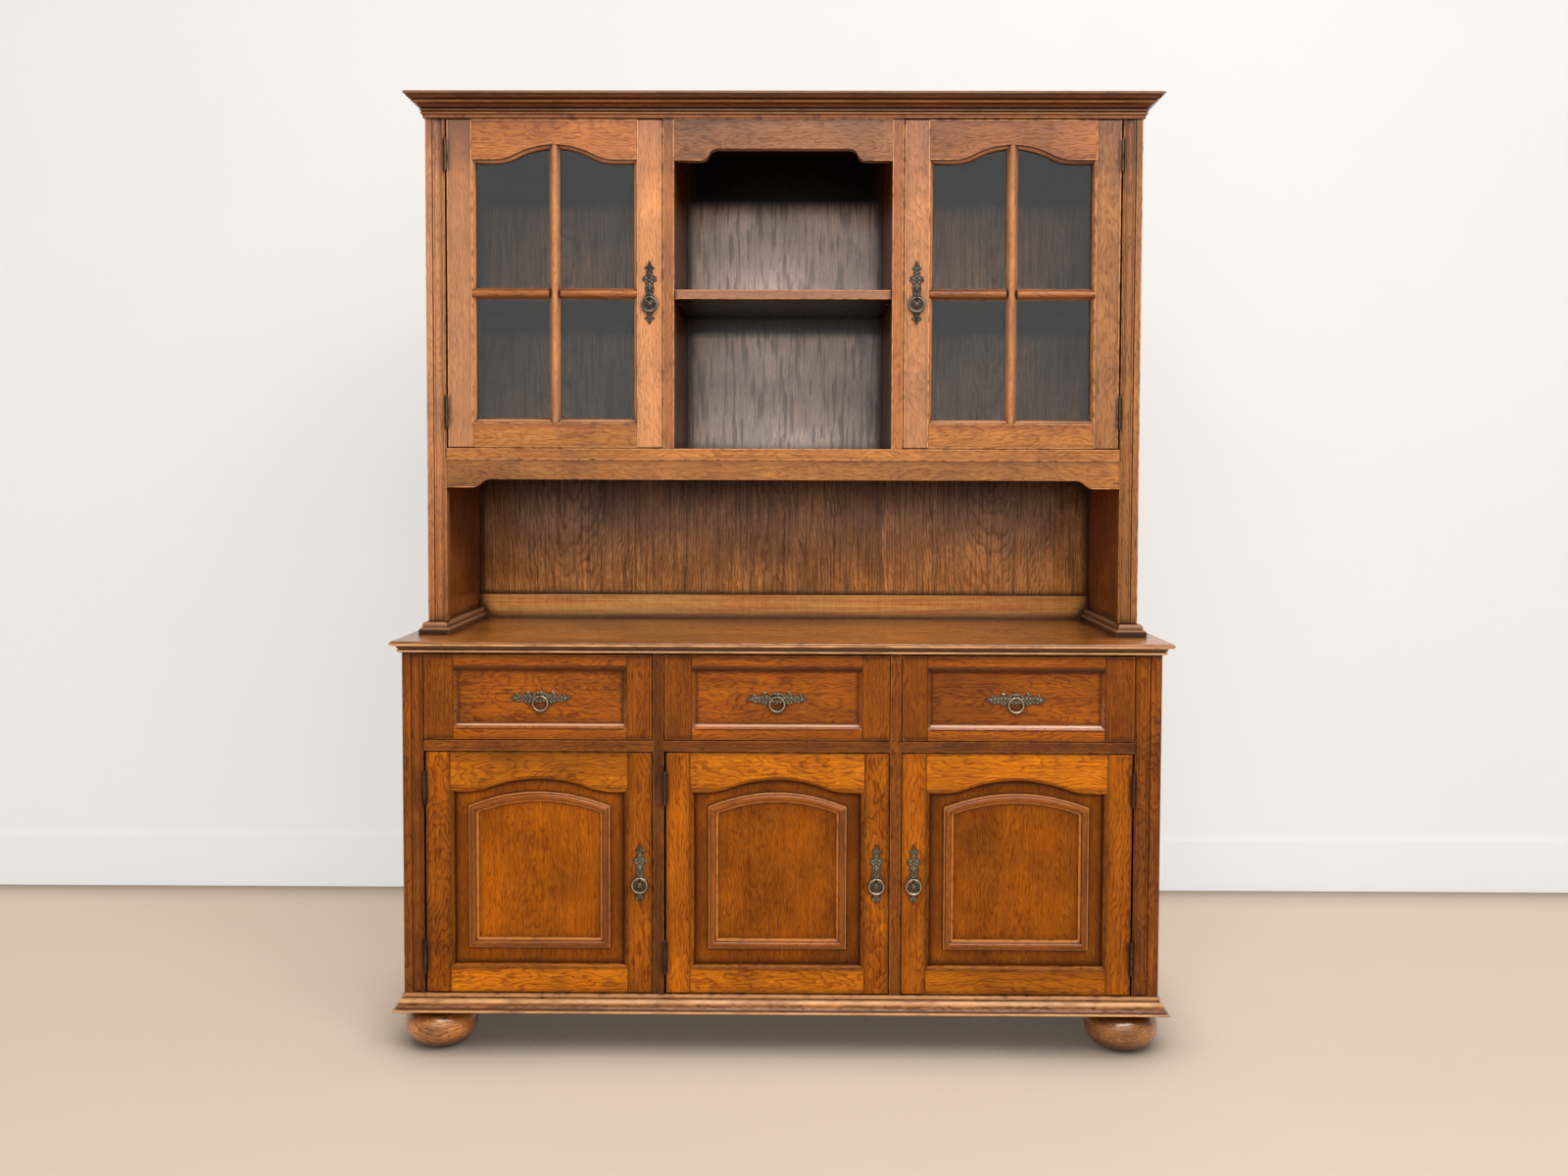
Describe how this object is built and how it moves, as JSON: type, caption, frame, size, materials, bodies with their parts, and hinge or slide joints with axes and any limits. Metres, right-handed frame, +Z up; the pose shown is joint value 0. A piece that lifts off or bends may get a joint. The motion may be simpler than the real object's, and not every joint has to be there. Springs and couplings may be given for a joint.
{
  "type": "buffet cabinet",
  "caption": "Oak buffet cabinet on bun feet: drawers over arched panel doors, with a hutch of glazed doors beside an open niche over a display space.",
  "frame": {"origin": "centre of the footprint's bounding box, on the floor under the bun feet", "axes": "+Z up, -Y is the front with the doors, +X to the right of someone who faces the front"},
  "size_m": [1.4998, 0.5199, 1.868],
  "materials": {
    "oak_frame": "satin varnished oak with dark grain",
    "oak_panel": "satin varnished oak with bold figure",
    "oak_moulded": "satin varnished oak with worn, lighter edges",
    "oak_turned": "polished turned oak",
    "oak_interior": "dull stained oak inside the carcass",
    "clear_glass": "clear float glass",
    "antique_brass": "antique brass with dark recesses",
    "aged_brass": "aged brass",
    "dark_pewter": "dark pewter-coloured metal"
  },
  "bodies": {
    "cabinet": {"bun_feet": "oak_turned", "plinth_moulding": "oak_moulded", "base_bottom_board": "oak_interior", "base_side_left": "oak_frame", "base_side_right": "oak_frame", "base_face_frame": "oak_frame", "base_partitions": "oak_interior", "base_back_panel": "oak_interior", "base_shelves": "oak_interior", "drawer_runners": "oak_interior", "countertop": "oak_moulded", "hutch_side_left": "oak_frame", "hutch_side_right": "oak_frame", "hutch_face_frame": "oak_frame", "hutch_apron": "oak_frame", "hutch_bottom_board": "oak_interior", "hutch_cornice": "oak_moulded", "hutch_partitions": "oak_interior", "hutch_back": "oak_interior", "hutch_shelves": "oak_interior", "shelf_pins": "aged_brass", "hinge_frame_leaves": "aged_brass"},
    "glazed_door_left": {"glazed_frame_left": "oak_frame", "glazed_glass_left": "clear_glass", "glazed_hinges_left": "aged_brass", "glazed_plate_left": "dark_pewter"},
    "glazed_ring_left_pull": {"glazed_ring_left": "dark_pewter"},
    "glazed_door_right": {"glazed_frame_right": "oak_frame", "glazed_glass_right": "clear_glass", "glazed_hinges_right": "aged_brass", "glazed_plate_right": "dark_pewter"},
    "glazed_ring_right_pull": {"glazed_ring_right": "dark_pewter"},
    "left_door": {"left_door_frame": "oak_frame", "left_door_panel": "oak_panel", "left_door_hinges": "aged_brass", "left_door_plate": "antique_brass"},
    "left_door_pull": {"left_door_ring": "antique_brass"},
    "centre_door": {"centre_door_frame": "oak_frame", "centre_door_panel": "oak_panel", "centre_door_hinges": "aged_brass", "centre_door_plate": "antique_brass"},
    "centre_door_pull": {"centre_door_ring": "antique_brass"},
    "right_door": {"right_door_frame": "oak_frame", "right_door_panel": "oak_panel", "right_door_hinges": "aged_brass", "right_door_plate": "antique_brass"},
    "right_door_pull": {"right_door_ring": "antique_brass"},
    "left_drawer": {"left_drawer_front": "oak_frame", "left_drawer_box": "oak_interior", "left_drawer_plate": "antique_brass"},
    "left_drawer_pull": {"left_drawer_ring": "antique_brass"},
    "centre_drawer": {"centre_drawer_front": "oak_frame", "centre_drawer_box": "oak_interior", "centre_drawer_plate": "antique_brass"},
    "centre_drawer_pull": {"centre_drawer_ring": "antique_brass"},
    "right_drawer": {"right_drawer_front": "oak_frame", "right_drawer_box": "oak_interior", "right_drawer_plate": "antique_brass"},
    "right_drawer_pull": {"right_drawer_ring": "antique_brass"}
  },
  "joints": [
    {"name": "glazed_door_left_hinge", "type": "hinge", "parent": "cabinet", "child": "glazed_door_left", "pos_m": [-0.6678, -0.1246, 1.497], "axis": [0, 0, -1], "range_deg": [0, 110]},
    {"name": "glazed_ring_left_pull_pivot", "type": "hinge", "parent": "glazed_door_left", "child": "glazed_ring_left_pull", "pos_m": [-0.2645, -0.1261, 1.4717], "axis": [-1, 0, 0], "range_deg": [0, 90]},
    {"name": "glazed_door_right_hinge", "type": "hinge", "parent": "cabinet", "child": "glazed_door_right", "pos_m": [0.6678, -0.1246, 1.497], "axis": [0, 0, 1], "range_deg": [0, 110]},
    {"name": "glazed_ring_right_pull_pivot", "type": "hinge", "parent": "glazed_door_right", "child": "glazed_ring_right_pull", "pos_m": [0.2645, -0.1261, 1.4717], "axis": [-1, 0, 0], "range_deg": [0, 90]},
    {"name": "left_door_hinge", "type": "hinge", "parent": "cabinet", "child": "left_door", "pos_m": [-0.6878, -0.2436, 0.3505], "axis": [0, 0, -1], "range_deg": [0, 110]},
    {"name": "left_door_pull_pivot", "type": "hinge", "parent": "left_door", "child": "left_door_pull", "pos_m": [-0.2725, -0.2451, 0.3412], "axis": [-1, 0, 0], "range_deg": [0, 90]},
    {"name": "centre_door_hinge", "type": "hinge", "parent": "cabinet", "child": "centre_door", "pos_m": [-0.2238, -0.2436, 0.3505], "axis": [0, 0, -1], "range_deg": [0, 110]},
    {"name": "centre_door_pull_pivot", "type": "hinge", "parent": "centre_door", "child": "centre_door_pull", "pos_m": [0.1845, -0.2451, 0.3412], "axis": [-1, 0, 0], "range_deg": [0, 90]},
    {"name": "right_door_hinge", "type": "hinge", "parent": "cabinet", "child": "right_door", "pos_m": [0.6778, -0.2436, 0.3505], "axis": [0, 0, 1], "range_deg": [0, 110]},
    {"name": "right_door_pull_pivot", "type": "hinge", "parent": "right_door", "child": "right_door_pull", "pos_m": [0.2565, -0.2451, 0.3412], "axis": [-1, 0, 0], "range_deg": [0, 90]},
    {"name": "left_drawer_slide", "type": "slide", "parent": "cabinet", "child": "left_drawer", "axis": [0, -1, 0], "range_m": [0, 0.3]},
    {"name": "left_drawer_pull_pivot", "type": "hinge", "parent": "left_drawer", "child": "left_drawer_pull", "pos_m": [-0.4645, -0.2381, 0.6931], "axis": [-1, 0, 0], "range_deg": [0, 90]},
    {"name": "centre_drawer_slide", "type": "slide", "parent": "cabinet", "child": "centre_drawer", "axis": [0, -1, 0], "range_m": [0, 0.3]},
    {"name": "centre_drawer_pull_pivot", "type": "hinge", "parent": "centre_drawer", "child": "centre_drawer_pull", "pos_m": [-0.008, -0.2381, 0.6931], "axis": [-1, 0, 0], "range_deg": [0, 90]},
    {"name": "right_drawer_slide", "type": "slide", "parent": "cabinet", "child": "right_drawer", "axis": [0, -1, 0], "range_m": [0, 0.3]},
    {"name": "right_drawer_pull_pivot", "type": "hinge", "parent": "right_drawer", "child": "right_drawer_pull", "pos_m": [0.4515, -0.2381, 0.6931], "axis": [-1, 0, 0], "range_deg": [0, 90]}
  ]
}
